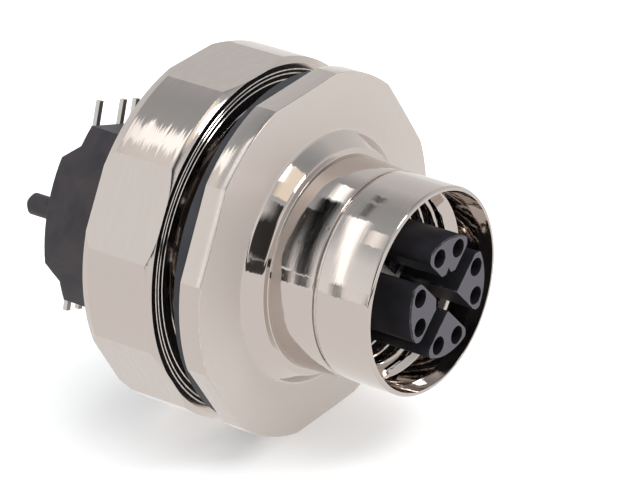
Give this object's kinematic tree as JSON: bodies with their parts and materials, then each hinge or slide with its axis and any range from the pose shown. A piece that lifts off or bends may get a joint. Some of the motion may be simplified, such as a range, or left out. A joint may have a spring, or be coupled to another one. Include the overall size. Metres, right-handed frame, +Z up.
{
  "type": "panel connector",
  "caption": "Circular panel connector: threaded metal shell with flange, gasket and lock nut around an X-coded socket insert with board leads.",
  "frame": {"origin": "on the connector's axis at the flange's rear face, where the panel gasket seats", "axes": "-Y points out of the mating mouth, +Y towards the board leads, +Z up; a flat of the flange faces straight up and another straight down"},
  "size_m": [0.0234, 0.0258, 0.0228],
  "materials": {
    "nickel_shell": "bright nickel plating with fine turning marks",
    "nickel_nut": "bright nickel plating, turned",
    "gasket_rubber": "matte dark rubber",
    "seal_rubber": "smooth black rubber",
    "insert_plastic": "fine satin moulded black",
    "base_plastic": "satin moulded black, faintly mottled",
    "shield_metal": "satin nickel plating",
    "spring_metal": "bright rolled spring sheet",
    "tinned_metal": "tinned, softly bright",
    "contact_metal": "plated contact metal with tinned tail"
  },
  "bodies": {
    "shell": {"housing": "nickel_shell", "panel_gasket": "gasket_rubber", "contact_carrier": "insert_plastic", "shield_cross": "shield_metal", "shield_ring": "spring_metal", "insert_o_ring": "seal_rubber", "retaining_ring": "spring_metal", "rear_base": "base_plastic", "base_seal": "seal_rubber", "ground_clip_left": "tinned_metal", "ground_clip_right": "tinned_metal", "contact_1": "contact_metal", "contact_2": "contact_metal", "contact_3": "contact_metal", "contact_4": "contact_metal", "contact_5": "contact_metal", "contact_6": "contact_metal", "contact_7": "contact_metal", "contact_8": "contact_metal"},
    "nut": {"lock_nut": "nickel_nut"}
  },
  "joints": [
    {"name": "nut_turn", "type": "hinge", "parent": "shell", "child": "nut", "pos_m": [0, 0.0052, 0], "axis": [0, 1, 0], "continuous": true}
  ]
}
